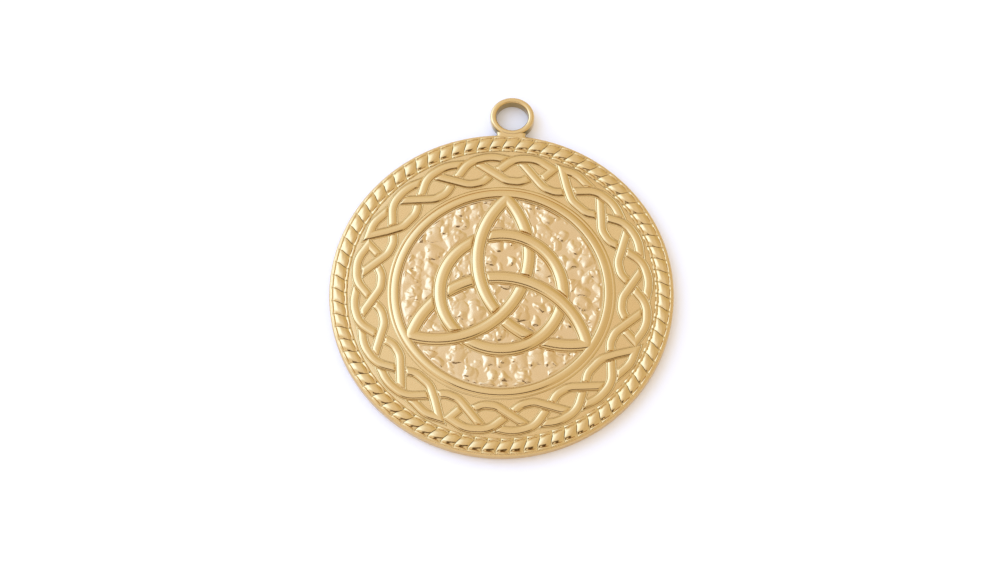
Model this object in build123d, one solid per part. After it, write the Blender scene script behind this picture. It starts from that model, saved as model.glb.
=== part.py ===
from build123d import *
import math
import os

# A round cast medallion with its hanging loop, all one piece of metal.
# The origin is the middle of the flat back. +Z points out of the decorated face and +Y at the loop.
# Lengths are millimetres. Heights called "rise" stand above the ground that the relief grows from.

# Disc
disc_diameter = 25.0
lip_height = 1.16
ground_height = 1.08
field_height = 1.06
edge_rounding = 0.14
relief_root = 0.12

# Rope rim: slanted blocks side by side, with a plain lip outside them. The offset is in degrees,
# from the loop clockwise to the first groove.
lip_width = 0.16
rope_width = 1.0
rope_pitch = 0.98
rope_groove = 0.07
rope_slant = 0.34
rope_sway = 0.05
rope_offset = 2.84
rope_rise = 0.24
rope_bevel = 0.11

# Plain ring between the plaited border and the hammered field
ring_diameter = 15.64
ring_width = 0.78
ring_rise = 0.32

# Plaited border between the ring and the rope
plait_quarters = 4
plait_units = 5
plait_offset = 27.75
plait_width = 0.54
plait_rise = 0.27
plait_inner_gap = 0.31
plait_outer_gap = 0.36

# Three-cornered knot with a circle woven through it
knot_width = 0.98
knot_rise = 0.36
knot_tip_gap = 0.06
knot_eye_radius = 1.12
circle_diameter = 8.88
circle_width = 0.93
circle_rise = 0.36

# Narrow groove left where one strand passes under another
weave_groove = 0.05

# Section of every strand: the share of its rise that its walls stand upright before the crown
wall_share = 0.3

# Hanging loop: a short tube standing on the rim, its hole parallel to Z
loop_hole_diameter = 2.35
loop_wall = 0.44
loop_height = 1.14
loop_web = 0.33
loop_rounding = 0.16
neck_width = 1.95
neck_flare = 0.16
neck_height = 1.06

# Largest share of a straight run that the bend at its end may take
run_share = 0.45

# Plaited strands, point by point between the places where they dip under a neighbour.
# turn: in plait units along the border; depth: share of the way from its inner to its outer edge;
# bend: radius of the turn there in strand widths, 0 at an end or at a sharp corner.
# A falling strand heads for the ring and a climbing one for the rope.
falling = [
    {"turn": -0.27, "depth": 0.84, "bend": 0},
    {"turn": 0.43, "depth": -0.01, "bend": 2.4},
    {"turn": 0.785, "depth": -0.01, "bend": 2.4},
    {"turn": 1.13, "depth": 0.38, "bend": 0},
]
climbing = [
    {"turn": 0.14, "depth": 0.35, "bend": 0},
    {"turn": 0.575, "depth": 0.93, "bend": 3.4},
    {"turn": 1.06, "depth": 1.03, "bend": 5.0},
    {"turn": 1.56, "depth": 0.83, "bend": 0},
]
# The strand that opens a quarter starts at its outer corner and runs off both ways.
opening_short = [
    {"turn": 0.56, "depth": 0.84, "bend": 0},
    {"turn": -0.01, "depth": 1.05, "bend": 4.0},
    {"turn": -0.33, "depth": 0.96, "bend": 0},
]
opening_long = [
    {"turn": -0.33, "depth": 0.96, "bend": 0},
    {"turn": -0.05, "depth": 0.42, "bend": 3.6},
    {"turn": 0.27, "depth": 0.02, "bend": 2.6},
    {"turn": 0.785, "depth": -0.01, "bend": 2.4},
    {"turn": 1.13, "depth": 0.38, "bend": 0},
]
# The strand that closes a quarter climbs, meets its sharp corner and turns back towards the ring.
closing = [
    {"turn": 0.14, "depth": 0.35, "bend": 0},
    {"turn": 0.575, "depth": 0.93, "bend": 3.4},
    {"turn": 1.06, "depth": 1.05, "bend": 4.0},
    {"turn": 1.48, "depth": 0.82, "bend": 0},
    {"turn": 1.28, "depth": 0.25, "bend": 0},
]

# Where the closing strand stops lying over the last falling one, as a share of its length,
# and where that one starts to lie over the closing strand.
closer_over = 0.6
late_over = 0.3

disc_radius = disc_diameter / 2
ring_radius = ring_diameter / 2
circle_radius = circle_diameter / 2
rope_outer = disc_radius - lip_width
rope_inner = rope_outer - rope_width
rope_middle = rope_outer - rope_width / 2
loop_hole_radius = loop_hole_diameter / 2
loop_outer_radius = loop_hole_radius + loop_wall
loop_center = disc_radius + loop_web + loop_hole_radius
plait_inner = ring_radius + ring_width / 2 + plait_inner_gap + plait_width / 2
plait_outer = rope_inner - plait_outer_gap - plait_width / 2
quarter_angle = 360 / plait_quarters
unit_angle = quarter_angle / plait_units

knot_corner_radius = ring_radius - ring_width / 2 - knot_tip_gap

# Each side of the knot is one arc, from a corner round the far side of the eye to the next corner.
knot_span = knot_corner_radius / 2 + knot_eye_radius
knot_side_radius = (0.75 * knot_corner_radius**2 + knot_span**2) / (2 * knot_span)
knot_side_offset = knot_side_radius - knot_eye_radius


def at(turn_angle, radius):
    """Point on the face at an angle clockwise from the loop."""
    angle = math.radians(90 - turn_angle)
    return Vector(radius * math.cos(angle), radius * math.sin(angle), 0)


def ridge(path, width, rise, height):
    """Strand along a flat path: short upright walls under a rounded crown."""
    half = width / 2
    wall = rise * wall_share
    outline = [
        Line((half, wall), (half, -relief_root)),
        Line((half, -relief_root), (-half, -relief_root)),
        Line((-half, -relief_root), (-half, wall)),
        ThreePointArc((-half, wall), (0, rise), (half, wall)),
    ]
    heading = path % 0
    plane = Plane(origin=path @ 0, x_dir=Vector(0, 0, 1).cross(heading), z_dir=heading)
    strand = sweep(plane * make_face(outline), path=path, transition=Transition.RIGHT)
    return Pos(0, 0, height) * strand


def clearing(path, width, height):
    """Upright cutter along a strand, wider than it by a groove on each side."""
    flat = trace(path, line_width=width + 2 * weave_groove)
    return Pos(0, 0, height) * extrude(flat, amount=disc_radius)


def bend_radius(before, corner, after, wanted):
    """Radius of a bend, no larger than its two straight runs have room for."""
    arriving = corner - before
    leaving = after - corner
    turn = math.radians(arriving.get_angle(leaving))
    room = run_share * min(arriving.length, leaving.length) / math.tan(turn / 2)
    return min(wanted, room)


def course(table, unit):
    """Path of straight runs and arcs through one table of the plait, starting at a unit of it."""
    points = []
    for row in table:
        radius = plait_inner + row["depth"] * (plait_outer - plait_inner)
        points.append(at(plait_offset + (unit + row["turn"]) * unit_angle, radius))
    radii = []
    for index in range(1, len(table) - 1):
        wanted = table[index]["bend"] * plait_width
        radii.append(bend_radius(points[index - 1], points[index], points[index + 1], wanted))
    return Wire(FilletPolyline(*points, radius=radii).edges())


def make_disc():
    """Turned blank: flat back, rounded edge, lip, and the ground for the relief."""
    outline = Polyline(
        (0, 0),
        (disc_radius, 0),
        (disc_radius, lip_height),
        (rope_middle, lip_height),
        (rope_middle, ground_height),
        (ring_radius, ground_height),
        (ring_radius, field_height),
        (0, field_height),
        close=True,
    )
    blank = revolve(Plane.XZ * make_face(outline), axis=Axis.Z)
    rims = blank.edges().filter_by(GeomType.CIRCLE).group_by(SortBy.RADIUS)[-1]
    return fillet(rims, edge_rounding)


def rope_side(turn_angle):
    """One slanted, slightly S-shaped side of a rope block, from its inner to its outer end."""
    slant = math.degrees(rope_slant / rope_middle)
    sway = math.degrees(rope_sway / rope_middle)
    inner = at(turn_angle - slant / 2, rope_inner)
    middle = at(turn_angle, rope_middle)
    outer = at(turn_angle + slant / 2, rope_outer)
    low = at(turn_angle - slant / 4 - sway, (rope_inner + rope_middle) / 2)
    high = at(turn_angle + slant / 4 + sway, (rope_middle + rope_outer) / 2)
    return ThreePointArc(inner, low, middle), ThreePointArc(middle, high, outer)


def make_rope():
    """Slanted blocks with bevelled tops side by side, a narrow groove between each two."""
    blocks = round(2 * math.pi * rope_middle / rope_pitch)
    step = 360 / blocks
    groove = math.degrees(rope_groove / rope_middle)
    left_low, left_high = rope_side(groove / 2)
    right_low, right_high = rope_side(step - groove / 2)
    inner_end = Line(left_low @ 0, right_low @ 0)
    outer_end = Line(left_high @ 1, right_high @ 1)
    face = make_face([left_low, left_high, outer_end, right_high, right_low, inner_end])
    block = Pos(0, 0, lip_height - relief_root) * extrude(face, amount=relief_root + rope_rise)
    block = chamfer(block.faces().sort_by(Axis.Z)[-1].edges(), rope_bevel)
    return [Rot(0, 0, -rope_offset - index * step) * block for index in range(blocks)]


def make_plait():
    """Strands of one quarter, each cut where a neighbour lies over it, then set round the border."""
    last = plait_units
    falls = {unit: course(falling, unit) for unit in range(1, last)}
    climbs = {unit: course(climbing, unit) for unit in range(last - 2)}
    opening = course(opening_short[:-1] + opening_long, 0)
    closer = course(closing, last - 2)
    over = {("fall", unit): path for unit, path in falls.items()}
    over.update({("climb", unit): path for unit, path in climbs.items()})
    over["fall", 0] = course(opening_long, 0)
    over["fall", last] = course(opening_long, last)
    over["climb", last - 2] = closer.trim(0, closer_over)
    over["late", last - 1] = falls[last - 1].trim(late_over, 1)
    strands = [(opening, ("climb", 0), ("fall", 1)), (closer, ("fall", last - 2), ("late", last - 1))]
    for unit, path in climbs.items():
        strands.append((path, ("fall", unit), ("climb", unit + 1)))
    for unit, path in falls.items():
        strands.append((path, ("climb", unit - 1), ("fall", unit + 1)))
    quarter = []
    for path, *neighbours in strands:
        strand = ridge(path, plait_width, plait_rise, ground_height)
        for neighbour in neighbours:
            strand -= clearing(over[neighbour], plait_width, ground_height)
        quarter += strand.solids()
    turns = [Rot(0, 0, -turn * quarter_angle) for turn in range(plait_quarters)]
    return [turn * strand for turn in turns for strand in quarter]


def make_ring():
    path = Wire(CenterArc((0, 0), ring_radius, 0, 360).edges())
    return [ridge(path, ring_width, ring_rise, ground_height)]


def knot_side(middle):
    """Path of one side of the knot, from a corner round the far side of the eye to the next."""
    center = at(90 - middle, knot_side_offset)
    half_chord = knot_corner_radius * math.sqrt(0.75)
    half_span = math.degrees(math.asin(half_chord / knot_side_radius))
    arc = CenterArc(center, knot_side_radius, middle + 180 - half_span, 2 * half_span)
    return Wire(arc.edges())


def circle_pass(middle):
    """Path of the circle where it lies over the far end of a side."""
    squares = circle_radius**2 + knot_side_offset**2 - knot_side_radius**2
    crossing = math.degrees(math.acos(squares / (2 * circle_radius * knot_side_offset)))
    reach = math.degrees((knot_width + circle_width) / circle_radius)
    arc = CenterArc((0, 0), circle_radius, middle - crossing - reach, 2 * reach)
    return Wire(arc.edges())


def make_knot():
    """Three sides and the circle. Each side goes over two strands, then under two."""
    middles = [30, 150, 270]
    sides = [knot_side(middle) for middle in middles]
    first_halves = [side.trim(0, 0.5) for side in sides]
    hoop = Wire(CenterArc((0, 0), circle_radius, 0, 360).edges())
    circle = ridge(hoop, circle_width, circle_rise, field_height)
    strands = []
    for index, side in enumerate(sides):
        strand = ridge(side, knot_width, knot_rise, field_height)
        strand -= clearing(first_halves[(index + 1) % 3], knot_width, field_height)
        strand -= clearing(circle_pass(middles[index]), circle_width, field_height)
        circle -= clearing(first_halves[index], knot_width, field_height)
        strands += strand.solids()
    return strands + circle.solids()


def make_loop():
    """Short rounded tube on a flared neck that grows out of the disc's edge."""
    upright = (Align.CENTER, Align.CENTER, Align.MIN)
    tube = Cylinder(loop_outer_radius, loop_height, align=upright)
    tube -= Cylinder(loop_hole_radius, loop_height, align=upright)
    rounding = min(loop_rounding, run_share * loop_wall)
    tube = fillet(tube.edges().filter_by(GeomType.CIRCLE), rounding)
    hole = Pos(0, loop_center, 0) * Cylinder(loop_hole_radius, loop_height, align=upright)
    foot = disc_radius - edge_rounding - lip_width
    neck_outline = Polyline(
        (neck_width / 2 + neck_flare, foot),
        (neck_width / 2, loop_center - loop_hole_radius),
        (-neck_width / 2, loop_center - loop_hole_radius),
        (-neck_width / 2 - neck_flare, foot),
        close=True,
    )
    neck = extrude(make_face(neck_outline), amount=neck_height)
    return Pos(0, loop_center, 0) * tube + (neck - hole)


medallion = make_disc() + make_loop()
medallion += make_plait() + make_ring() + make_knot()
medallion += make_rope()

os.makedirs("parts", exist_ok=True)
export_step(medallion.solid(), "parts/medallion.step")
print("medallion", "solids", len(medallion.solids()), "volume mm3", round(medallion.volume, 2))
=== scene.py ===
# %% [markdown]
# # A gold medallion with a knot, a plait and a rope rim
#
# This lesson builds the pendant that the CAD part describes, with the detail that a jeweller's
# punch and file leave on it. Everything is in metres and in the CAD part's own frame: the flat back
# lies on Z = 0, the decorated face looks up +Z, and the hanging loop points along +Y.
#
# The first cell loads the packed CAD model. Its box is kept.

# %% Load the frame
import math

import bmesh
import bpy
from mathutils import Matrix, Vector


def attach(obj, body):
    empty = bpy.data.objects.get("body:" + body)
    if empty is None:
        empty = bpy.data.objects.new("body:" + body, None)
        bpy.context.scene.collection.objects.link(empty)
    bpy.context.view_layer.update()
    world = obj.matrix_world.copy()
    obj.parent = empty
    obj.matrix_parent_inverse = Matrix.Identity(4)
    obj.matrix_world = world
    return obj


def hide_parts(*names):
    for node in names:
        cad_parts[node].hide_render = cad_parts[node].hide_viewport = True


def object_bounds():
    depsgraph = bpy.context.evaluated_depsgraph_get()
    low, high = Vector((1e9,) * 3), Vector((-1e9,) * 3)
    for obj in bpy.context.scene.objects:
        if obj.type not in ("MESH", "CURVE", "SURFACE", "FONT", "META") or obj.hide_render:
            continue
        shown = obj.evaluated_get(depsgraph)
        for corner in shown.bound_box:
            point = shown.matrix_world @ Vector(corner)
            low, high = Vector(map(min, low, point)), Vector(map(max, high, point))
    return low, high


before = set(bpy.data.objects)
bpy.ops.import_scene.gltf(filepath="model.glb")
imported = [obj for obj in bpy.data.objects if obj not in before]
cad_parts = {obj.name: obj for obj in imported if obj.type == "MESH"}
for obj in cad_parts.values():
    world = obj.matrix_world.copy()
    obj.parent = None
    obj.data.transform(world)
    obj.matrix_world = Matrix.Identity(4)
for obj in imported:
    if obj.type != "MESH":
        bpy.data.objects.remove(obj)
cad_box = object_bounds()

BODY = "root"
NODE = "medallion"
MM = 0.001

size = cad_box[1] - cad_box[0]
print("CAD box in mm:", [round(length / MM, 2) for length in size])

# %% [markdown]
# ## The sizes that drive the shape
#
# A struck medal is drawn as rings inside rings. So most places are radii, and the strands of the
# relief are paths on the flat face. The disc is 25 mm across, and each height says how far a
# surface stands above the flat back. Everything is drawn flat first. The real face swells a little
# towards its middle, so each finished piece is domed at the end, all by the same rule.

# %% Name the sizes
disc_radius = min(-cad_box[0].x, cad_box[1].x, -cad_box[0].y)
lip_height = 0.95 * MM
ground_height = 0.93 * MM
field_height = 0.91 * MM
field_floor = 0.7 * MM
dome_height = 0.25 * MM

rope_bands = [11.16 * MM, 11.39 * MM, 12.2 * MM, 12.37 * MM]
rope_inner, rope_outer = rope_bands[0], rope_bands[-1]
ring_radius = 7.765 * MM
print("rope rim from", round(rope_inner / MM, 2), "to", round(rope_outer / MM, 2), "mm")

# %% [markdown]
# ## Arithmetic on sockets
#
# A node tree is a formula drawn with wires. Written as Python, the formula is easier to read, so a
# small class wraps one output of a node. Adding or multiplying two of them adds a Math node to the
# tree. One method makes every other kind of node: its type first, then its settings, then what
# goes into its sockets. The short methods below it name the few steps that the trees repeat.

# %% Wrap sockets and trees


class Wire:
    """One output of a node. Sums and products of wires add Math nodes to their tree."""

    def __init__(self, nodes, node, output):
        self.nodes, self.node, self.output = nodes, node, output

    def also(self, name):
        """Another output of the same node."""
        return Wire(self.nodes, self.node, self.node.outputs[name])

    def __add__(self, other):
        return self.nodes.maths("ADD", self, other)

    def __radd__(self, other):
        return self.nodes.maths("ADD", other, self)

    def __sub__(self, other):
        return self.nodes.maths("SUBTRACT", self, other)

    def __rsub__(self, other):
        return self.nodes.maths("SUBTRACT", other, self)

    def __mul__(self, other):
        return self.nodes.maths("MULTIPLY", self, other)

    def __rmul__(self, other):
        return self.nodes.maths("MULTIPLY", other, self)

    def __truediv__(self, other):
        return self.nodes.maths("DIVIDE", self, other)

    def __rtruediv__(self, other):
        return self.nodes.maths("DIVIDE", other, self)


class Nodes:
    """A node tree that is written as formulas."""

    def __init__(self, tree):
        self.tree = tree

    def add(self, kind, settings=None, values=None, output=0):
        """A node of any kind: its settings are set first, then its sockets get values or wires."""
        node = self.tree.nodes.new(kind)
        for name, setting in (settings or {}).items():
            setattr(node, name, setting)
        for name, value in (values or {}).items():
            if isinstance(value, Wire):
                self.tree.links.new(value.output, node.inputs[name])
            else:
                node.inputs[name].default_value = value
        return Wire(self, node, node.outputs[output] if node.outputs else None)

    def maths(self, operation, first, second=0.0):
        return self.add("ShaderNodeMath", {"operation": operation}, {0: first, 1: second})

    def smaller(self, first, second):
        return self.maths("MINIMUM", first, second)

    def larger(self, first, second):
        return self.maths("MAXIMUM", first, second)

    def vector(self, x, y, z):
        return self.add("ShaderNodeCombineXYZ", None, {"X": x, "Y": y, "Z": z})

    def parts(self, vector):
        """The X, Y and Z of a vector."""
        split = self.add("ShaderNodeSeparateXYZ", None, {"Vector": vector})
        return split, split.also("Y"), split.also("Z")

    def shifted(self, vector, shift):
        return self.add("ShaderNodeVectorMath", {"operation": "ADD"}, {0: vector, 1: shift})

    def scaled(self, vector, factor):
        values = {0: vector, "Scale": factor}
        return self.add("ShaderNodeVectorMath", {"operation": "SCALE"}, values)

    def clamped(self, value):
        """The value, held between 0 and 1."""
        return self.add("ShaderNodeClamp", None, {"Value": value})

    def between(self, value, low, high, out_low=0.0, out_high=1.0):
        """Smooth step of a value from one range to another."""
        settings = {"interpolation_type": "SMOOTHSTEP"}
        values = {"Value": value, "From Min": low, "From Max": high, "To Min": out_low, "To Max": out_high}
        return self.add("ShaderNodeMapRange", settings, values)

    def mixed(self, factor, first, second):
        """One colour that turns into another. Each is a wire or (red, green, blue)."""
        first, second = (c if isinstance(c, Wire) else (*c, 1.0) for c in (first, second))
        values = {"Factor": factor, 6: first, 7: second}
        return self.add("ShaderNodeMix", {"data_type": "RGBA"}, values, output=2)


print("socket arithmetic ready:", [name for name in vars(Wire) if name.startswith("__r")])

# %% [markdown]
# ## Gold, three ways
#
# The plating is one metal with three finishes. The raised strands are buffed until they carry soft
# cream highlights. The ground between them keeps a fine matt grain. The hammered field is bright,
# but each dent has its own tilt. Metal shows almost nothing of its own: its colour is the colour
# that it gives to reflections. So the base colour stays nearly even, and roughness and a tiny bump
# tell the finishes apart. The patterns read Object coordinates, so they stay on the metal.
#
# Grooves are painted darker than the rest, as painted shade where little light gets in. The strands,
# the rope and the loop carry an attribute, recess, that is 1 in a groove and 0 outside, and
# the colour follows it towards a dark gold.

# %% Make the gold materials
GOLD = (0.675, 0.482, 0.212)
DEEP_GOLD = (0.665, 0.465, 0.197)
PALE_GOLD = (0.685, 0.478, 0.205)
PALE_DEEP = (0.67, 0.455, 0.19)
FIELD_GOLD = (0.695, 0.51, 0.262)
FIELD_DEEP = (0.685, 0.487, 0.238)
# Dark gold for the painted shade in grooves and at the feet of strands
GROOVE_SHADE = (0.2, 0.145, 0.025)

noise_middle = 0.5
cloud_size = 3.0 * MM
cloud_edges = (0.35, 0.65)


def gold_material(name, roughness, grain_size, grain_depth, tint, deep):
    """Gold with cloudy warmth, painted shade where its attribute is high, and a grain that changes its
    roughness and bump.
    """
    material = bpy.data.materials.new(name)
    material.use_nodes = True
    material.node_tree.nodes.clear()
    nodes = Nodes(material.node_tree)
    place = nodes.add("ShaderNodeTexCoord").also("Object")
    clouds = nodes.add("ShaderNodeTexNoise", None, {"Vector": place, "Scale": 1 / cloud_size, "Detail": 3.0})
    grain = nodes.add("ShaderNodeTexNoise", None, {"Vector": place, "Scale": 1 / grain_size, "Detail": 4.0})
    # Painted shade: the colour turns to the dark gold where the attribute marks a groove
    groove = nodes.add("ShaderNodeAttribute", {"attribute_name": "recess"}).also("Fac")
    colour = nodes.mixed(nodes.between(clouds, *cloud_edges), tint, deep)
    colour = nodes.mixed(groove, colour, GROOVE_SHADE)
    worn = (grain - noise_middle) * roughness + roughness
    bump = nodes.add("ShaderNodeBump", None, {"Strength": 1.0, "Distance": grain_depth, "Height": grain})
    values = {"Base Color": colour, "Metallic": 1.0, "Roughness": worn, "Normal": bump}
    shader = nodes.add("ShaderNodeBsdfPrincipled", None, values)
    nodes.add("ShaderNodeOutputMaterial", None, {"Surface": shader})
    return material


polished_gold = gold_material(
    "polished_gold", roughness=0.13, grain_size=0.25 * MM, grain_depth=0.0008 * MM,
    tint=GOLD, deep=DEEP_GOLD,
)
grained_gold = gold_material(
    "grained_gold", roughness=0.3, grain_size=0.07 * MM, grain_depth=0.007 * MM,
    tint=PALE_GOLD, deep=PALE_DEEP,
)
hammered_gold = gold_material(
    "hammered_gold", roughness=0.16, grain_size=0.2 * MM, grain_depth=0.006 * MM,
    tint=FIELD_GOLD, deep=FIELD_DEEP,
)
print("materials:", polished_gold.name, grained_gold.name, hammered_gold.name)

# %% [markdown]
# ## From a node tree to a plain piece
#
# A piece made by Geometry Nodes starts as an empty object with a modifier. The modifier's inputs
# are set by the identifier of each socket, the object is evaluated once, and the result becomes a
# plain mesh. The modifier is gone before the piece joins the frame.
#
# Inside a tree, a value can be stored on the points under a name. The sweep of a section along a
# path copies such values to every point that it makes, which is how each point of a strand knows
# its place in the section.

# %% Turn results into pieces


class GeometryNodes(Nodes):
    """A Geometry Nodes tree, with the steps that several pieces share."""

    def here(self):
        return self.add("GeometryNodeInputPosition")

    def shape_of(self, source):
        """The geometry of an object that is an input of the tree."""
        return self.add("GeometryNodeObjectInfo", None, {"Object": source}).also("Geometry")

    def placed(self, geometry, position):
        """The geometry with its points at new positions."""
        return self.add("GeometryNodeSetPosition", None, {"Geometry": geometry, "Position": position})

    def keep(self, geometry, name, value, kind="FLOAT"):
        """The geometry with a value stored on its points under a name."""
        values = {"Geometry": geometry, "Name": name, "Value": value}
        return self.add("GeometryNodeStoreNamedAttribute", {"data_type": kind}, values)

    def kept(self, name, kind="FLOAT"):
        """The value that is stored under a name."""
        return self.add("GeometryNodeInputNamedAttribute", {"data_type": kind}, {"Name": name})

    def near(self, curve):
        """Measures how far each point is from a curve."""
        lines = self.add("GeometryNodeCurveToMesh", None, {"Curve": curve})
        settings = {"target_element": "EDGES"}
        return self.add("GeometryNodeProximity", settings, {"Geometry": lines}).also("Distance")

    def close(self, geometry, material):
        """The end of each tree: real geometry, smooth shading and a material."""
        real = self.add("GeometryNodeRealizeInstances", None, {"Geometry": geometry})
        smooth = self.add("GeometryNodeSetShadeSmooth", None, {"Geometry": real})
        painted = self.add("GeometryNodeSetMaterial", None, {"Geometry": smooth, "Material": material})
        self.add("NodeGroupOutput", None, {"Geometry": painted})


def geometry_tree(name, inputs):
    """An empty Geometry Nodes tree with named inputs: {name: (kind of socket, its first value)}."""
    tree = bpy.data.node_groups.new(name, "GeometryNodeTree")
    for label, (kind, value) in inputs.items():
        made = tree.interface.new_socket(label, in_out="INPUT", socket_type="NodeSocket" + kind)
        if value is not None:
            made.default_value = value
    tree.interface.new_socket("Geometry", in_out="OUTPUT", socket_type="NodeSocketGeometry")
    nodes = GeometryNodes(tree)
    return nodes, nodes.add("NodeGroupInput")


def shown(name, data):
    """A new object in the scene."""
    made = bpy.data.objects.new(name, data)
    bpy.context.scene.collection.objects.link(made)
    return made


def mesh_of(name, shape):
    """A new mesh from a bmesh, which is then freed."""
    mesh = bpy.data.meshes.new(name)
    shape.to_mesh(mesh)
    shape.free()
    return mesh


def grow(tree, values):
    """The plain mesh that a tree makes with these inputs."""
    holder = shown("grown", bpy.data.meshes.new("grown"))
    modifier = holder.modifiers.new("grown", "NODES")
    modifier.node_group = tree
    for item in tree.interface.items_tree:
        if item.in_out == "INPUT" and item.name in values:
            modifier[item.identifier] = values[item.name]
    graph = bpy.context.evaluated_depsgraph_get()
    mesh = bpy.data.meshes.new_from_object(holder.evaluated_get(graph))
    bpy.data.objects.remove(holder)
    return mesh


def joined(name, meshes):
    """One mesh from several."""
    whole = bmesh.new()
    for mesh in meshes:
        whole.from_mesh(mesh)
    return mesh_of(name, whole)


def dome(mesh):
    """The face of the medal swells a little towards its middle. The back stays flat."""
    for vert in mesh.vertices:
        x, y, z = vert.co
        swell = max(0.0, 1 - (x * x + y * y) / disc_radius**2)
        vert.co.z = z + dome_height * swell * max(0.0, min(1.0, z / field_floor))


def piece(name, mesh, material, crease=0):
    """A finished piece: it rides on the body and stands for the CAD node."""
    mesh.name = name
    dome(mesh)
    made = shown(name, mesh)
    mesh.materials.clear()
    mesh.materials.append(material)
    mesh.polygons.foreach_set("use_smooth", [True] * len(mesh.polygons))
    if crease:
        mesh.set_sharp_from_angle(angle=crease)
    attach(made, BODY)
    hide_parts(NODE)
    mesh.calc_loop_triangles()
    print(name, "has", len(mesh.loop_triangles), "triangles")


print("each piece rides on", BODY, "and stands for", NODE)

# %% [markdown]
# ## The blank
#
# The disc is a turned shape: an outline goes once round the Z axis. The helper below makes rings of
# points by hand, closes the seam and shares one point at the pole. Corners are rounded with short
# arcs, because a polished edge shows as a soft line of light and never as a sharp step. The outline
# leaves a shallow bed for the rope, and inside the ring it drops to the floor of the field.

# %% Turn the disc


def arc(center, radius, start, end, steps=6):
    """Points on an arc in the outline's plane. Angles are degrees."""
    angles = [math.radians(start + (end - start) * step / steps) for step in range(steps + 1)]
    return [(center[0] + radius * math.cos(a), center[1] + radius * math.sin(a)) for a in angles]


def turned(name, outline, steps, ring=False):
    """Mesh of an outline of (radius, height) turned round Z. A ring's outline is a closed loop."""
    shape = bmesh.new()
    rows = []
    for radius, height in outline:
        row = []
        for step in range(steps if radius else 1):
            angle = 2 * math.pi * step / steps
            row.append(shape.verts.new((radius * math.cos(angle), radius * math.sin(angle), height)))
        rows.append(row)
    pairs = list(zip(rows, rows[1:])) + ([(rows[-1], rows[0])] if ring else [])
    for low, high in pairs:
        for step in range(steps):
            after = (step + 1) % steps
            corners = [low[step % len(low)], low[after % len(low)]]
            corners += [high[after % len(high)], high[step % len(high)]]
            corners = [corner for index, corner in enumerate(corners) if corner not in corners[:index]]
            shape.faces.new(corners)
    bmesh.ops.recalc_face_normals(shape, faces=shape.faces)
    return mesh_of(name, shape)


edge_rounding = 0.17 * MM
back_rounding = 0.36 * MM
bed_height = 0.92 * MM
bed_lip = rope_outer - 0.01 * MM
bed_outer = rope_outer - 0.03 * MM
bed_inner = rope_inner + 0.04 * MM
field_wall = ring_radius - 0.01 * MM
ground_rings = 8
disc_steps = 360
blank_outline = (
    [(0, 0)]
    + arc((disc_radius - back_rounding, back_rounding), back_rounding, -90, 0)
    + arc((disc_radius - edge_rounding, lip_height - edge_rounding), edge_rounding, 0, 90)
    + [(bed_lip, lip_height), (bed_outer, bed_height), (bed_inner, bed_height)]
    + [(rope_inner + (ring_radius - rope_inner) * ring / ground_rings, ground_height)
       for ring in range(ground_rings + 1)]
    + [(field_wall, field_floor), (0, field_floor)]
)
blank_crease = math.radians(30)
piece("blank", turned("blank", blank_outline, disc_steps), grained_gold, blank_crease)

# %% [markdown]
# ## Paths
#
# A path is a poly curve. Each point's radius says how round the bend there is, and a Fillet Curve
# node will read it. Angles are counted clockwise from the loop, as on a clock. The same kind of
# curve also holds a cross-section, with the point's distance, height and painted shade in place of
# X, Y and Z.

# %% Draw paths
circle_steps = 180


def at(angle, radius):
    """Point on the face at an angle clockwise from the loop."""
    turn = math.radians(90 - angle)
    return Vector((radius * math.cos(turn), radius * math.sin(turn), 0))


def path_object(name, *lines, closed=False):
    """A curve object with one poly spline for each list of (point, bend radius)."""
    curve = bpy.data.curves.new(name, "CURVE")
    curve.dimensions = "3D"
    for line in lines:
        spline = curve.splines.new("POLY")
        spline.points.add(len(line) - 1)
        for spot, (place, bend) in zip(spline.points, line):
            spot.co = (*place, 1)
            spot.radius = bend
        spline.use_cyclic_u = closed
    return bpy.data.objects.new(name, curve)


def arc_path(center, radius, start, end, steps=90):
    """Points of an arc, with no bends to round. Angles are degrees, anticlockwise from +X."""
    return [((center[0] + x, center[1] + y, 0), 0) for x, y in arc((0, 0), radius, start, end, steps)]


def circle_line(radius):
    return arc_path((0, 0), radius, 0, 360, circle_steps)


def circle_path(name, radius):
    """A closed circle. Its last point would lie on its first, so it is left out."""
    return path_object(name, circle_line(radius)[:-1], closed=True)


print("a full circle has", len(circle_line(ring_radius)) - 1, "points")

# %% [markdown]
# ## Strands of relief
#
# The ring, the knot, its circle and the plait are all the same thing: a strand with a rounded
# crown, a groove at each side and a thin raised line, the bead, beyond it. A strand follows a path
# on the face, and dips and stops short where another strand lies over it. Modelling each by hand
# would take one mesh after another, so a section is swept along a path, and one node tree makes
# them all.
#
# The sweep first lays the section flat. Then each point rises by its stored height, times what
# its distance to the strand above leaves of it. That is how an engraver's tool works, and it gives
# the neat ends that the real strands have. At a sharp corner two strands meet on a mitre line, so
# each one's last rows slide along it until they lie on that line.

# %% Shape the section of a strand
groove_width = 0.03 * MM
groove_stops = (0.8, 0.4)  # shares of its width between which the groove is flat
sink = 0.15 * MM  # how far a strand's foot reaches into the plate
crown_power = 2.6  # 2 is a round crown, and more is flatter on top
bead_fall = 0.85  # share of its height that a bead loses at its edges


def strand_side(half, bead, rim, valley, bead_steps):
    """One side of a strand, from its foot over the bead to the groove."""
    edge = half + groove_width + bead + groove_width
    middle = half + groove_width + bead / 2
    # Painted shade: full at the foot, and in the groove a share that grows as the groove gets deeper
    side = [(edge, -sink, 1), (edge, 0, 1)]
    for step in range(bead_steps, -bead_steps - 1, -1):
        share = step / bead_steps
        low = 0 if share > 0 else valley
        rise = low + (rim - low) * (1 - bead_fall * share * share)
        side.append((middle + bead / 2 * share, rise, 0))
    return side + [(half + groove_width * stop, valley, 1 - valley / rim) for stop in groove_stops]


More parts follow.
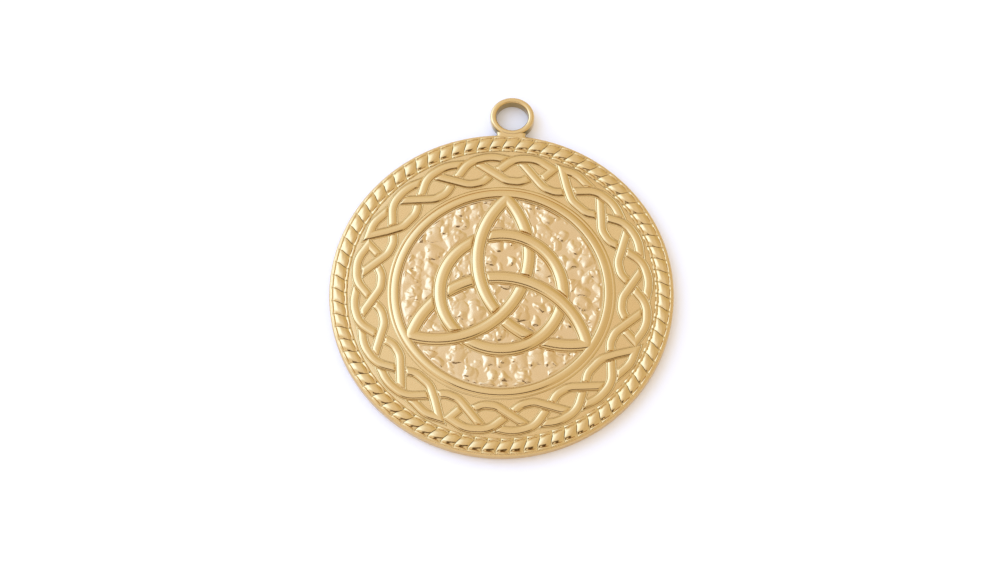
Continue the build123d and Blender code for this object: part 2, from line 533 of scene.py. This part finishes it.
def strand_section(name, half, wall, crown, beads, rim, valleys, tilt=0, steps=10, bead_steps=3):
    """Cross-section of a strand: (distance from the path, height, painted shade: 1 in a groove, 0 on metal).
    """
    left, right = (strand_side(half, bead, rim, valley, bead_steps) for bead, valley in zip(beads, valleys))
    arch = []
    for share in (step / steps for step in range(-steps, steps + 1)):
        arch.append((half * share, wall - tilt * share + crown * (1 - abs(share) ** crown_power), 0))
    spots = [(-across, rise, recess) for across, rise, recess in left] + arch + right[::-1]
    print(name, "has", len(spots), "points")
    return path_object(name, [(spot, 0) for spot in spots])


# %% Build the strand tree
strand_rows = 0.066 * MM
bend_steps = 12
mitre_reach = 4  # half widths from the end to where the slide has faded out
tiny = 0.001 * MM


def strand_tree():
    inputs = {
        "Path": ("Object", None),
        "Section": ("Object", None),
        "Half width": ("Float", 0.27 * MM),
        "Over": ("Object", None),
        "Over half width": ("Float", 0.27 * MM),
        "Dip length": ("Float", 0.12 * MM),
        "Dip": ("Float", 0.18),
        "Cut": ("Float", 0.03 * MM),
        "Nose": ("Float", 0.0),
        "Level": ("Float", ground_height),
        "Start mitre": ("Float", 0.0),
        "End mitre": ("Float", 0.0),
        "Row length": ("Float", strand_rows),
        "Material": ("Material", None),
    }
    nodes, given = geometry_tree("strand", inputs)

    def rounded_path(label):
        bend = nodes.add("GeometryNodeInputRadius")
        values = {"Curve": nodes.shape_of(given.also(label)), "Count": bend_steps}
        values.update({"Radius": bend, "Limit Radius": False})
        bent = nodes.add("GeometryNodeFilletCurve", {"mode": "POLY"}, values)
        return nodes.add("GeometryNodeSetCurveRadius", None, {"Curve": bent, "Radius": 1.0})

    values = {"Curve": rounded_path("Path"), "Length": given.also("Row length")}
    path = nodes.add("GeometryNodeResampleCurve", {"mode": "LENGTH"}, values)
    path = nodes.add("GeometryNodeSetCurveNormal", {"mode": "Z_UP"}, {"Curve": path})
    along = nodes.add("GeometryNodeSplineParameter").also("Length")
    path = nodes.keep(path, "heading", nodes.add("GeometryNodeInputTangent"), "FLOAT_VECTOR")
    path = nodes.keep(path, "from_start", along)
    path = nodes.keep(path, "to_end", nodes.add("GeometryNodeSplineLength") - along)

    section = nodes.shape_of(given.also("Section"))
    # The section's third part, its painted shade, is kept on each point of the strand
    for name, value in zip(("across", "rise", "recess"), nodes.parts(nodes.here())):
        section = nodes.keep(section, name, value)
    across, rise = nodes.kept("across"), nodes.kept("rise")
    from_start, to_end = nodes.kept("from_start"), nodes.kept("to_end")
    section = nodes.placed(section, nodes.vector(across, 0.0, 0.0))
    ribbon = nodes.add("GeometryNodeCurveToMesh", None, {"Curve": path, "Profile Curve": section})

    def slant(distance, mitre):
        """How far a point slides along the strand, most at the mitred end and none further in."""
        return across * mitre * nodes.clamped(1 - distance / (given.also("Half width") * mitre_reach))

    slide = slant(to_end, given.also("End mitre")) - slant(from_start, given.also("Start mitre"))
    slid = nodes.scaled(nodes.kept("heading", "FLOAT_VECTOR"), slide)
    ribbon = nodes.add("GeometryNodeSetPosition", None, {"Geometry": ribbon, "Offset": slid})

    near = nodes.near(rounded_path("Over"))
    clear = near - given.also("Over half width") + (1 - near.also("Is Valid"))
    stay = nodes.between(clear, 0.0, given.also("Dip length"), 1 - given.also("Dip"), 1.0)
    stay = stay * nodes.between(clear, -1 * given.also("Cut"), 0.0)
    nose = given.also("Nose") + tiny
    tip = nodes.clamped((nodes.smaller(from_start, to_end) + tiny) / nose)
    stay = stay * nodes.maths("SQRT", tip * (2 - tip))
    height = given.also("Level") + nodes.larger(rise, 0.0) * stay + nodes.smaller(rise, 0.0)
    x, y, z = nodes.parts(nodes.here())
    nodes.close(nodes.placed(ribbon, nodes.vector(x, y, height)), given.also("Material"))
    return nodes.tree


strand = strand_tree()
print("strand tree has", len(strand.nodes), "nodes")

# %% [markdown]
# ## The ring
#
# The ring is a plain circle with a wide shoulder on its outer side. Its crown falls a little
# towards that side, which gives the broad bright band where the ring faces the light.

# %% Lay the ring
strand_crease = math.radians(38)
ring_section = strand_section(
    "ring_section", half=0.27 * MM, wall=0.055 * MM, crown=0.06 * MM, tilt=0.03 * MM,
    beads=(0.08 * MM, 0.18 * MM), rim=0.065 * MM, valleys=(0.035 * MM, 0.06 * MM),
)
ring = grow(strand, {
    "Material": polished_gold,
    "Row length": 0.09 * MM,
    "Path": circle_path("ring_path", ring_radius),
    "Section": ring_section,
})
piece("ring", ring, polished_gold, strand_crease)

# %% [markdown]
# ## The knot and its circle
#
# The knot has three sides, each an arc that runs from one corner round the far side of the middle
# to the next. Two lengths fix the arcs: how far out the corners lie, and how close the arcs come to
# the middle. A circle goes over and under them in turn. Each strand gets as its Over input the
# stretches of the others that lie on top of it, and the tree does the rest.

# %% Work out the arcs of the knot
circle_radius = 4.46 * MM
knot_half = 0.385 * MM
knot_bead = 0.09 * MM
knot_reach = knot_half + knot_bead + 2 * groove_width
knot_corner_radius = 7.37 * MM
knot_eye_radius = 1.12 * MM
knot_overrun = 3.5
first_half = 0.5
pass_length = 4 * (knot_half + knot_bead)
middles = [30, 150, 270]

squared_sine = 0.75  # of 60 degrees, half the angle between two corners as seen from the middle
knot_span = knot_corner_radius / 2 + knot_eye_radius
knot_side_radius = (squared_sine * knot_corner_radius**2 + knot_span**2) / (2 * knot_span)
knot_side_offset = knot_side_radius - knot_eye_radius
half_span = math.degrees(math.asin(knot_corner_radius * math.sqrt(squared_sine) / knot_side_radius))


def knot_side(middle, share=1.0):
    """Points of one side of the knot, or of the first share of it. Its ends run under the ring."""
    center = at(90 - middle, knot_side_offset)
    reach = half_span + knot_overrun
    start = middle + 180 - reach
    return arc_path(center, knot_side_radius, start, start + 2 * reach * share)


def circle_pass(middle):
    """The stretch of the circle that lies over the far end of a side."""
    squares = circle_radius**2 + knot_side_offset**2 - knot_side_radius**2
    crossing = math.degrees(math.acos(squares / (2 * circle_radius * knot_side_offset)))
    reach = math.degrees(pass_length / circle_radius)
    return arc_path((0, 0), circle_radius, middle - crossing - reach, middle - crossing + reach)


print("each side of the knot is an arc of", round(knot_side_radius / MM, 2), "mm radius")

# %% Lay the knot and the circle
knot_sizes = {
    "Material": polished_gold,
    "Section": strand_section(
        "knot_section", half=knot_half, wall=0.07 * MM, crown=0.105 * MM,
        beads=(knot_bead, knot_bead), rim=0.04 * MM, valleys=(0.018 * MM, 0.018 * MM),
    ),
    "Level": field_height,
    "Over half width": knot_reach,
    "Dip": 0.15,
    "Dip length": 0.14 * MM,
    "Row length": 0.04 * MM,
}
knot_nose = 0.5 * MM
knot_meshes = []
for index, middle in enumerate(middles):
    after = middles[(index + 1) % len(middles)]
    above = [knot_side(after, first_half), circle_pass(middle)]
    knot_meshes.append(grow(strand, {
        **knot_sizes,
        "Nose": knot_nose,
        "Path": path_object("side_path", knot_side(middle)),
        "Over": path_object("side_over", *above),
    }))
knot_meshes.append(grow(strand, {
    **knot_sizes,
    "Path": circle_path("circle_path", circle_radius),
    "Over": path_object("circle_over", *[knot_side(middle, first_half) for middle in middles]),
}))
piece("knot", joined("knot", knot_meshes), polished_gold, strand_crease)

# %% [markdown]
# ## The hammered field
#
# Inside the ring, the ground is worked with a punch. Low rounded lumps stay between the blows, and
# each slope that faces the light turns white. Sculpting them one by one would be slow, so a fine
# grid is lifted by a formula. Voronoi cells give every lump a place at random. A lump is a cap that
# falls away from its cell's middle, some cells stay empty, and noise pushes the outlines out of
# round. Two sizes of lump and a few small pits are added to a long soft wave.
#
# The relief fades out close to the strands, where the punch can't reach. The grid is cut to a
# circle that ends under the ring, then closed below. The textures read the place on the grid and
# nothing else, so the dents come out the same each time.

# %% Hammer the field
noise_reach = 0.25  # how far noise usually strays from its middle
wave_size = 1.6 * MM
wave_height = 0.06 * MM
lumps = [
    {"spacing": 1.15 * MM, "radius": 0.6 * MM, "height": 0.1 * MM, "share": 0.85, "wobble": 0.22 * MM},
    {"spacing": 0.65 * MM, "radius": 0.28 * MM, "height": 0.04 * MM, "share": 0.6, "wobble": 0.15 * MM},
    {"spacing": 1.7 * MM, "radius": 0.15 * MM, "height": -0.08 * MM, "share": 0.3, "wobble": 0.05 * MM},
]
smallest_lump = 0.6  # times the radius in the list
lump_spread = 0.8  # how much more the largest one has
lump_scatter = 0.85


def field_tree():
    inputs = {
        "Strands": ("Object", None),
        "Radius": ("Float", ring_radius),
        "Height": ("Float", field_height),
        "Clearance": ("Float", knot_reach - 0.05 * MM),
        "Fade": ("Float", 0.12 * MM),
        "Ditch": ("Float", 0.004 * MM),
        "Columns": ("Int", 340),
        "Material": ("Material", None),
    }
    nodes, given = geometry_tree("hammered_field", inputs)
    radius, columns = given.also("Radius"), given.also("Columns")
    sizes = {"Size X": radius * 2, "Size Y": radius * 2, "Vertices X": columns, "Vertices Y": columns}
    grid = nodes.add("GeometryNodeMeshGrid", None, sizes)
    place = nodes.here()

    def flat_noise(vector, feature):
        values = {"Vector": vector, "Scale": 1 / feature, "Detail": 1.0}
        return nodes.add("ShaderNodeTexNoise", {"noise_dimensions": "2D"}, values)

    def capped(lump, shift):
        """Round caps at random places, some left out. Noise pushes their outlines out of round."""
        moved = nodes.shifted(place, (shift, -shift, 0))
        swirl = nodes.shifted(flat_noise(moved, lump["spacing"]).also("Color"), (-noise_middle,) * 3)
        moved = nodes.shifted(moved, nodes.scaled(swirl, lump["wobble"] / noise_reach))
        moved = nodes.scaled(moved, 1 / lump["spacing"])
        values = {"Vector": moved, "Scale": 1.0, "Randomness": lump_scatter}
        cells = nodes.add("ShaderNodeTexVoronoi", {"voronoi_dimensions": "2D"}, values)
        chance, size = nodes.parts(cells.also("Color"))[:2]
        reach = (size * lump_spread + smallest_lump) * (lump["radius"] / lump["spacing"])
        away = nodes.smaller(cells / reach, 1.0)
        chosen = nodes.maths("LESS_THAN", chance, lump["share"])
        return (1 - away * away) * chosen * lump["height"]

    relief = (flat_noise(place, wave_size) - noise_middle) * wave_height
    for number, lump in enumerate(lumps):
        relief = relief + capped(lump, (number + 1) * lumps[0]["spacing"])

    limit = given.also("Clearance")
    near = nodes.near(nodes.shape_of(given.also("Strands")))
    open_ground = nodes.between(near, limit, limit + given.also("Fade"))
    height = given.also("Height") + relief * open_ground - (1 - open_ground) * given.also("Ditch")
    x, y, z = nodes.parts(place)
    lifted = nodes.placed(grid, nodes.vector(x, y, height))
    outside = nodes.maths("GREATER_THAN", nodes.maths("SQRT", x * x + y * y), radius)
    disc = nodes.add("GeometryNodeDeleteGeometry", None, {"Geometry": lifted, "Selection": outside})
    nodes.close(disc, given.also("Material"))
    return nodes.tree


def closed_below(mesh, floor):
    """Closes a sheet into a solid: its rim goes straight down to a flat floor."""
    shape = bmesh.new()
    shape.from_mesh(mesh)
    rim = [edge for edge in shape.edges if edge.is_boundary]
    skirt = bmesh.ops.extrude_edge_only(shape, edges=rim)["geom"]
    for vert in (part for part in skirt if isinstance(part, bmesh.types.BMVert)):
        vert.co.z = floor
    low = [edge for edge in shape.edges if edge.is_boundary]
    bmesh.ops.triangle_fill(shape, use_beauty=True, edges=low)
    bmesh.ops.recalc_face_normals(shape, faces=shape.faces)
    shape.to_mesh(mesh)
    shape.free()
    return mesh


field_crease = math.radians(60)
field_lines = [knot_side(middle) for middle in middles]
field_lines += [circle_line(radius) for radius in (circle_radius, ring_radius)]
field = grow(field_tree(), {"Material": hammered_gold, "Strands": path_object("field_lines", *field_lines)})
piece("hammered_field", closed_below(field, field_floor), hammered_gold, field_crease)

# %% [markdown]
# ## The plait
#
# Three strands are plaited in four equal stretches, so one quarter is laid and then turned. A list
# gives each strand's points: how far it has turned, counted in units of the plait, its depth from
# the border's inner edge to its outer one, and how round it bends there, in strand widths. A
# falling strand heads for the ring and a climbing one for the rope. Each stretch opens and closes
# in a pointed corner.

# %% Draw the strands of one quarter
FALLING = [(-0.27, 0.84, 0), (0.43, -0.01, 2.4), (0.785, -0.01, 2.4), (1.13, 0.38, 0)]
CLIMBING = [(0.14, 0.35, 0), (0.575, 0.93, 3.4), (1.06, 1.03, 5.0), (1.56, 0.83, 0)]
OPENING_SHORT = [(0.56, 0.84, 0), (-0.01, 1.05, 4.0), (-0.33, 0.96, 0)]
OPENING_LONG = [(-0.33, 0.96, 0), (-0.05, 0.42, 3.6), (0.27, 0.02, 2.6)] + FALLING[-2:]
CLOSING = [(0.14, 0.35, 0), (0.575, 0.93, 3.4), (1.06, 1.05, 4.0), (1.48, 0.82, 0)]
RETURNING = [(1.48, 0.82, 0), (1.28, 0.25, 0)]

plait_half = 0.27 * MM
plait_bead = 0.07 * MM
plait_reach = plait_half + plait_bead + 2 * groove_width
plait_inner = 8.79 * MM
plait_outer = 10.71 * MM
plait_quarters = 4
plait_units = 5
plait_offset = 27.75
unit_angle = 360 / plait_quarters / plait_units
run_share = 0.45  # of a straight run that one bend may use up


def course(points, unit=0):
    """Points and bend radii of one strand that starts at a unit of the plait."""
    spots = [
        at(plait_offset + (unit + turn) * unit_angle, plait_inner + depth * (plait_outer - plait_inner))
        for turn, depth, bend in points
    ]
    bends = [0.0]
    for before, corner, after, point in zip(spots, spots[1:], spots[2:], points[1:]):
        arriving, leaving = corner - before, after - corner
        room = run_share * min(arriving.length, leaving.length) / math.tan(arriving.angle(leaving) / 2)
        bends.append(min(point[2] * 2 * plait_half, room))
    return list(zip(spots, bends + [0.0]))


def mitre(arriving, leaving):
    """Slope of the mitre line where one path ends and the next starts."""
    before = arriving[-1][0] - arriving[-2][0]
    after = leaving[1][0] - leaving[0][0]
    turn = math.atan2(before.cross(after).z, before.dot(after))
    return math.tan(turn / 2)


def plait_strands():
    """(path, paths above it, start mitre, end mitre) for each strand of one quarter."""
    last = plait_units
    falls = [course(FALLING, unit) for unit in range(1, last)]
    climbs = [course(CLIMBING, unit) for unit in range(last - 2)]
    short, long = course(OPENING_SHORT), course(OPENING_LONG)
    closing, returning = course(CLOSING, last - 2), course(RETURNING, last - 2)
    next_long = course(OPENING_LONG, last)
    tip, turn = mitre(short, long), mitre(closing, returning)
    rows = [
        (short, [climbs[0]], 0, tip),
        (long, [falls[0]], tip, 0),
        (closing, [falls[-2]], 0, turn),
        (returning, [falls[-1]], turn, 0),
    ]
    above_falls = climbs + [closing]
    for index, path in enumerate(climbs):
        left = long if index == 0 else falls[index - 1]
        rows.append((path, [left, above_falls[index + 1]], 0, 0))
    for index, path in enumerate(falls):
        after = next_long if index == len(falls) - 1 else falls[index + 1]
        rows.append((path, [above_falls[index], after], 0, 0))
    return rows


quarter_strands = plait_strands()
print("one quarter of the plait has", len(quarter_strands), "strands")

# %% Lay the plait
plait_section = strand_section(
    "plait_section", half=plait_half, wall=0.06 * MM, crown=0.06 * MM, steps=7, bead_steps=2,
    beads=(plait_bead, plait_bead), rim=0.032 * MM, valleys=(0.015 * MM, 0.015 * MM),
)
plait_meshes = []
for path, above, start, end in quarter_strands:
    plait_meshes.append(grow(strand, {
        "Path": path_object("strand_path", path),
        "Section": plait_section,
        "Half width": plait_half,
        "Over": path_object("strand_over", *above),
        "Over half width": plait_reach,
        "Start mitre": start,
        "End mitre": end,
        "Material": polished_gold,
    }))
quarter = joined("quarter", plait_meshes)
quarters = []
for turn in range(plait_quarters):
    turned_quarter = quarter.copy()
    turned_quarter.transform(Matrix.Rotation(-2 * math.pi * turn / plait_quarters, 4, "Z"))
    quarters.append(turned_quarter)
piece("plait", joined("plait", quarters), polished_gold, strand_crease)

# %% [markdown]
# ## The rope rim
#
# The rope is one slanted block, repeated all the way round. Its section has three bands: a broad
# middle with a straight bevel at each side, and a narrow rounded band beyond each bevel. The bevels
# are straight on purpose. A flat slope catches a dark part of the surroundings all at once, which
# gives the crisp dark marks of the real rim, where a round one would blur them.
#
# The tree sweeps the section over a short line, bends the result into a block and lowers its ends.
# Then it puts copies of the block on 76 points, each turned a little further, and makes them real.

# %% Shape the section of the rope
rope_profile = [
    {"wall": 0.05 * MM, "crown": 0.06 * MM, "bevel": 0, "steps": 2},
    {"wall": 0.07 * MM, "crown": 0.03 * MM, "bevel": 0.13 * MM, "steps": 5},
    {"wall": 0.05 * MM, "crown": 0.04 * MM, "bevel": 0, "steps": 2},
]
rope_arch_power = 3
rope_slope = 0.4
rope_valley = 0.02 * MM
rope_foot = 0.1 * MM
bevel_hold = 0.2  # share of the bevel where one more point keeps the bend crisp
plate_lean = 2 * dome_height * rope_inner / disc_radius**2  # slope of the domed plate there


def rope_section():
    """Cross-section of a rope block, from the inner edge to the outer: (radius, height, painted shade)."""
    # Painted shade: full at both feet of the section
    spots = [(rope_inner, -rope_foot, 1), (rope_inner, rope_valley, 1)]
    for low, high, band in zip(rope_bands, rope_bands[1:], rope_profile):
        middle, half = (low + high) / 2, (high - low) / 2 - groove_width / 2
        bevel, steps = band["bevel"], band["steps"]
        flat = half - bevel
        offsets = [flat * (step / steps) for step in range(-steps, steps + 1)]
        if bevel:
            hold = flat + bevel_hold * bevel
            offsets = [-half, -hold, *offsets, hold, half]
        for offset in offsets:
            slope = rope_slope + math.copysign(plate_lean, -offset)
            drop = slope * max(abs(offset) - flat, 0)
            arch = band["crown"] * (1 - min(abs(offset) / flat, 1) ** rope_arch_power)
            spots.append((middle + offset, band["wall"] + rope_slope * bevel + arch - drop, 0))
        spots.append((high, rope_valley, 0))
    spots.append((rope_outer, -rope_foot, 1))
    print("rope section has", len(spots), "points")
    return path_object("rope_section", [(spot, 0) for spot in spots])


# %% Twist the rope
rope_blocks = 76
rope_offset = math.radians(2.85)
end_of_block = 0.999  # rows beyond this share of the turn are a block's ends


def rope_tree():
    inputs = {
        "Section": ("Object", None),
        "Blocks": ("Int", rope_blocks),
        "Middle": ("Float", (rope_inner + rope_outer) / 2),
        "Width": ("Float", rope_outer - rope_inner),
        "Slant": ("Float", 0.34),
        "Sway": ("Float", 0.05 * MM),
        "Level": ("Float", bed_height),
        "Pillow": ("Float", 0.08 * MM),
        "First": ("Float", rope_offset),
        "Cells": ("Int", 11),
        "Material": ("Material", None),
    }
    nodes, given = geometry_tree("rope_rim", inputs)
    blocks, middle = given.also("Blocks"), given.also("Middle")

    x, y, z = nodes.parts(nodes.here())
    line = nodes.add("GeometryNodeCurvePrimitiveLine", None, {"Start": (-1, 0, 0), "End": (1, 0, 0)})
    line = nodes.add("GeometryNodeResampleCurve", None, {"Curve": line, "Count": given.also("Cells")})
    line = nodes.keep(line, "turn", nodes.maths("SINE", x * (math.pi / 2)))
    section = nodes.shape_of(given.also("Section"))
    for name, value in (("outward", x), ("rise", y), ("hollow", z)):
        section = nodes.keep(section, name, value)
    block = nodes.add("GeometryNodeCurveToMesh", None, {"Curve": line, "Profile Curve": section})

    turn, radius, rise = nodes.kept("turn"), nodes.kept("outward"), nodes.kept("rise")
    across = radius - middle
    sway = nodes.maths("SINE", across / given.also("Width") * (2 * math.pi)) * given.also("Sway")
    step = 2 * math.pi / blocks
    angle = given.also("First") + (turn + 1) * step / 2 + (across * given.also("Slant") + sway) / middle
    inside = nodes.maths("LESS_THAN", nodes.maths("ABSOLUTE", turn), end_of_block)
    top = nodes.larger(rise - turn * turn * given.also("Pillow"), rope_valley)
    top = nodes.smaller(rise, inside * top + (1 - inside) * rope_valley)
    sine, cosine = nodes.maths("SINE", angle), nodes.maths("COSINE", angle)
    block = nodes.placed(block, nodes.vector(radius * sine, radius * cosine, given.also("Level") + top))
    # Painted shade at the feet and on the ends of each block
    block = nodes.keep(block, "recess", nodes.larger(nodes.kept("hollow"), 1 - inside))
    stops = nodes.add("GeometryNodeMeshLine", None, {"Count": blocks, "Offset": (0, 0, 0)})
    spin = nodes.vector(0.0, 0.0, nodes.add("GeometryNodeInputIndex") * step)
    values = {"Points": stops, "Instance": block, "Rotation": spin}
    nodes.close(nodes.add("GeometryNodeInstanceOnPoints", None, values), given.also("Material"))
    return nodes.tree


rope = grow(rope_tree(), {"Material": polished_gold, "Section": rope_section()})
piece("rope_rim", rope, polished_gold, strand_crease)

# %% [markdown]
# ## The hanging loop
#
# The loop is a short tube with a rounded rim, so it is turned like the disc, round its own middle.
# The real one is a little out of round and out of line, so the tube is squashed and shifted. Its
# inner wall is painted darker than its rim as painted shade, and so is the foot of its outer wall
# next to the disc. The recess attribute darkens both.

# %% Add the loop
loop_radius = 1.175 * MM
loop_wall = 0.44 * MM
loop_height = 1.0 * MM
loop_center = cad_box[1].y - loop_wall - loop_radius
loop_shift = 0.06 * MM
loop_squash = 0.93
loop_steps = 96
rim_rounding = 0.16 * MM

tube_inner, tube_outer = loop_radius, loop_radius + loop_wall
loop_outline = []
for corner_radius, corner_height, start in (
    (tube_outer - rim_rounding, loop_height - rim_rounding, 0),
    (tube_inner + rim_rounding, loop_height - rim_rounding, 90),
    (tube_inner + rim_rounding, rim_rounding, 180),
    (tube_outer - rim_rounding, rim_rounding, 270),
):
    loop_outline += arc((corner_radius, corner_height), rim_rounding, start, start + 90)
loop = turned("loop", loop_outline, loop_steps, ring=True)
loop.transform(Matrix.Translation((loop_shift, loop_center, 0)) @ Matrix.Diagonal((1, loop_squash, 1, 1)))

inner_wall_shade = 0.55
shade_below = loop_height - rim_rounding / 2
shade_within = tube_inner + rim_rounding / 2
shade_beyond = tube_outer - rim_rounding / 4
foot_gain, foot_start = 3, 1  # shaded from a third of the way to the disc, in full from two thirds
# Painted shade: a share on the inner wall, and in full on the foot of the outer wall near the disc
recess = loop.attributes.new("recess", "FLOAT", "POINT")
for vert, mark in zip(loop.vertices, recess.data):
    reach = math.hypot(vert.co.x - loop_shift, (vert.co.y - loop_center) / loop_squash)
    towards_disc = (reach > shade_beyond) * (loop_center - vert.co.y) / tube_outer
    foot = min(max(foot_gain * towards_disc - foot_start, 0), 1)
    mark.value = (vert.co.z < shade_below) * max(inner_wall_shade * (reach < shade_within), foot)
piece("loop", loop, polished_gold)

# %% [markdown]
# ## The neck
#
# A short web joins the loop to the rim of the disc. It is flat below, softly rounded above, and
# flares towards both ends, most at the disc. Rows of points across it are enough for such a shape.

# %% Add the neck
neck_half = 0.95 * MM
disc_flare = 0.45 * MM
loop_flare = 0.12 * MM
neck_start = disc_radius - 0.3 * MM
neck_end = loop_center - loop_radius - 0.12 * MM
neck_top = 0.95 * MM
neck_bottom = 0.05 * MM
neck_rounding = 0.08 * MM
edge_power = 12  # high, so that only the very edge is rounded
neck_rows, neck_columns = 12, 13


def neck_row(shape, share):
    """Points once round the web, at a share of its way from the disc to the loop."""
    half = neck_half + disc_flare * (1 - share) ** 3 + loop_flare * share**3
    y = neck_start + (neck_end - neck_start) * share
    spots = []
    for column in range(neck_columns + 1):
        across = math.sin(math.pi * (column / neck_columns - 0.5))
        fall = neck_rounding * (1 - math.sqrt(1 - abs(across) ** edge_power))
        spots.append((loop_shift + half * across, y, neck_top - fall))
    spots += [(loop_shift + half, y, neck_bottom), (loop_shift - half, y, neck_bottom)]
    return [shape.verts.new(spot) for spot in spots]


def neck_mesh():
    shape = bmesh.new()
    rows = [neck_row(shape, row / neck_rows) for row in range(neck_rows + 1)]
    for low, high in zip(rows, rows[1:]):
        for index in range(len(low)):
            after = (index + 1) % len(low)
            shape.faces.new((low[index], low[after], high[after], high[index]))
    shape.faces.new(rows[0])
    shape.faces.new(rows[-1])
    bmesh.ops.recalc_face_normals(shape, faces=shape.faces)
    return mesh_of("neck", shape)


piece("neck", neck_mesh(), polished_gold)

# %% [markdown]
# ## The table
#
# The pendant lies on plain white paper. Real paper in a bright tent comes out white in a photograph
# and only darkens right next to the metal. A little light of its own keeps it white here too.

# %% Set the table
table_half = 400 * MM
paper_finish = {
    "Base Color": (0.9, 0.895, 0.885, 1),
    "Roughness": 0.8,
    "Emission Color": (1, 1, 1, 1),
    "Emission Strength": 0.1,
}
table_mesh = bpy.data.meshes.new("table_top")
corners = [(-1, -1), (1, -1), (1, 1), (-1, 1)]
table_mesh.from_pydata([(x * table_half, y * table_half, 0) for x, y in corners], [], [(0, 1, 2, 3)])
table = shown("table_top", table_mesh)
paper = bpy.data.materials.new("white_paper")
paper.use_nodes = True
for socket, value in paper_finish.items():
    paper.node_tree.nodes["Principled BSDF"].inputs[socket].default_value = value
table_mesh.materials.append(paper)
print("table is", round(2 * table_half / MM), "mm wide")

# %% [markdown]
# ## The camera
#
# The camera looks down from the front at a steep angle, through a long lens. The roundness of the
# disc in the picture gives the angle, and the pixels that one millimetre takes up give the lens.
# The last two numbers say where in the picture the middle of the disc's back lies.

# %% Place the camera
view_elevation = math.radians(68.5)
view_azimuth = math.radians(3)
view_distance = 345 * MM
pixels_per_mm = 13.76
image_width, image_height = 1000, 563
origin_x, origin_y = 501.5, 298.0

back = Vector((
    math.sin(view_azimuth) * math.cos(view_elevation),
    -math.cos(view_azimuth) * math.cos(view_elevation),
    math.sin(view_elevation),
))
right = Vector((math.cos(view_azimuth), math.sin(view_azimuth), 0))
up = back.cross(right)
aim = (right * (image_width / 2 - origin_x) + up * (origin_y - image_height / 2)) * MM / pixels_per_mm
lens = bpy.data.cameras.new("camera")
lens.sensor_width = 36
lens.lens = lens.sensor_width * pixels_per_mm * view_distance / MM / image_width
lens.clip_start, lens.clip_end = 0.01, 10
camera = shown("camera", lens)
camera.matrix_world = Matrix((
    (*right[:], 0), (*up[:], 0), (*back[:], 0), (0, 0, 0, 1),
)).transposed()
camera.location = aim + back * view_distance
bpy.context.scene.camera = camera
print("lens", round(lens.lens, 1), "mm, aimed at", [round(part / MM, 2) for part in aim])

# %% [markdown]
# ## The light tent
#
# Polished metal shows its surroundings, so lighting it means drawing what it reflects. Here that is
# a tent of soft light all round. Its west side is the brightest and bluish, which turns the
# reflections in gold white. Its east side is duller and warmer, so the right flanks of the strands
# stay a deeper gold. A dark slot lies where the camera stands, as a dark lens would. Slopes that
# face the camera reflect it, and that makes the near-black marks on the rope and in the field.
#
# The tent is the world's background: its colour is worked out from the direction in space.

# %% Hang the lights
tent_level = 1.175
slot_shift = 0.02
slot_half = (0.36, 0.105)
slot_softness = 0.03
window_start, window_end = (-0.2, 0.1), (0.6, 0.9)
white_range, gold_range, far_range = (0.0, 0.65), (0.0, 0.4), (0.42, 0.75)
tent_channels = {
    "Red": {"level": 0.94, "white": 0.54, "gold": 0.14, "far": 0.05, "dark": 0.89},
    "Green": {"level": 0.91, "white": 1.04, "gold": 0.19, "far": 0.06, "dark": 0.94},
    "Blue": {"level": 0.97, "white": 2.18, "gold": 0.36, "far": 0.14, "dark": 0.99},
}

world = bpy.data.worlds.new("light_tent")
bpy.context.scene.world = world
world.use_nodes = True
world.node_tree.nodes.clear()
tent = Nodes(world.node_tree)
direction = tent.add("ShaderNodeTexCoord").also("Generated")
east, north = tent.parts(direction)[:2]


def within(way, center, half):
    """1 where one part of the direction is close to a value, and 0 further away."""
    distance = tent.maths("ABSOLUTE", way - center)
    return 1 - tent.between(distance, half - slot_softness, half + slot_softness)


slot = within(east, back.x - slot_shift, slot_half[0]) * within(north, back.y, slot_half[1])
window = tent.between(north, *window_start) * (1 - tent.between(north, *window_end))
white_side = tent.between(-1 * east, *white_range) * window
gold_side = tent.between(east, *gold_range)
far_side = tent.between(north, *far_range)


def channel(level, white, gold, far, dark):
    """One colour channel of the tent's light."""
    light = level + white_side * white - gold_side * gold - far_side * far
    return light * tent_level * (1 - slot * dark)


colours = {name: channel(**shares) for name, shares in tent_channels.items()}
tone = tent.add("ShaderNodeCombineColor", None, colours)
glow = tent.add("ShaderNodeBackground", None, {"Color": tone, "Strength": 1.0})
tent.add("ShaderNodeOutputWorld", None, {"Surface": glow})
bpy.context.scene.view_settings.view_transform = "Standard"
print("light tent has", len(world.node_tree.nodes), "nodes")

# %% [markdown]
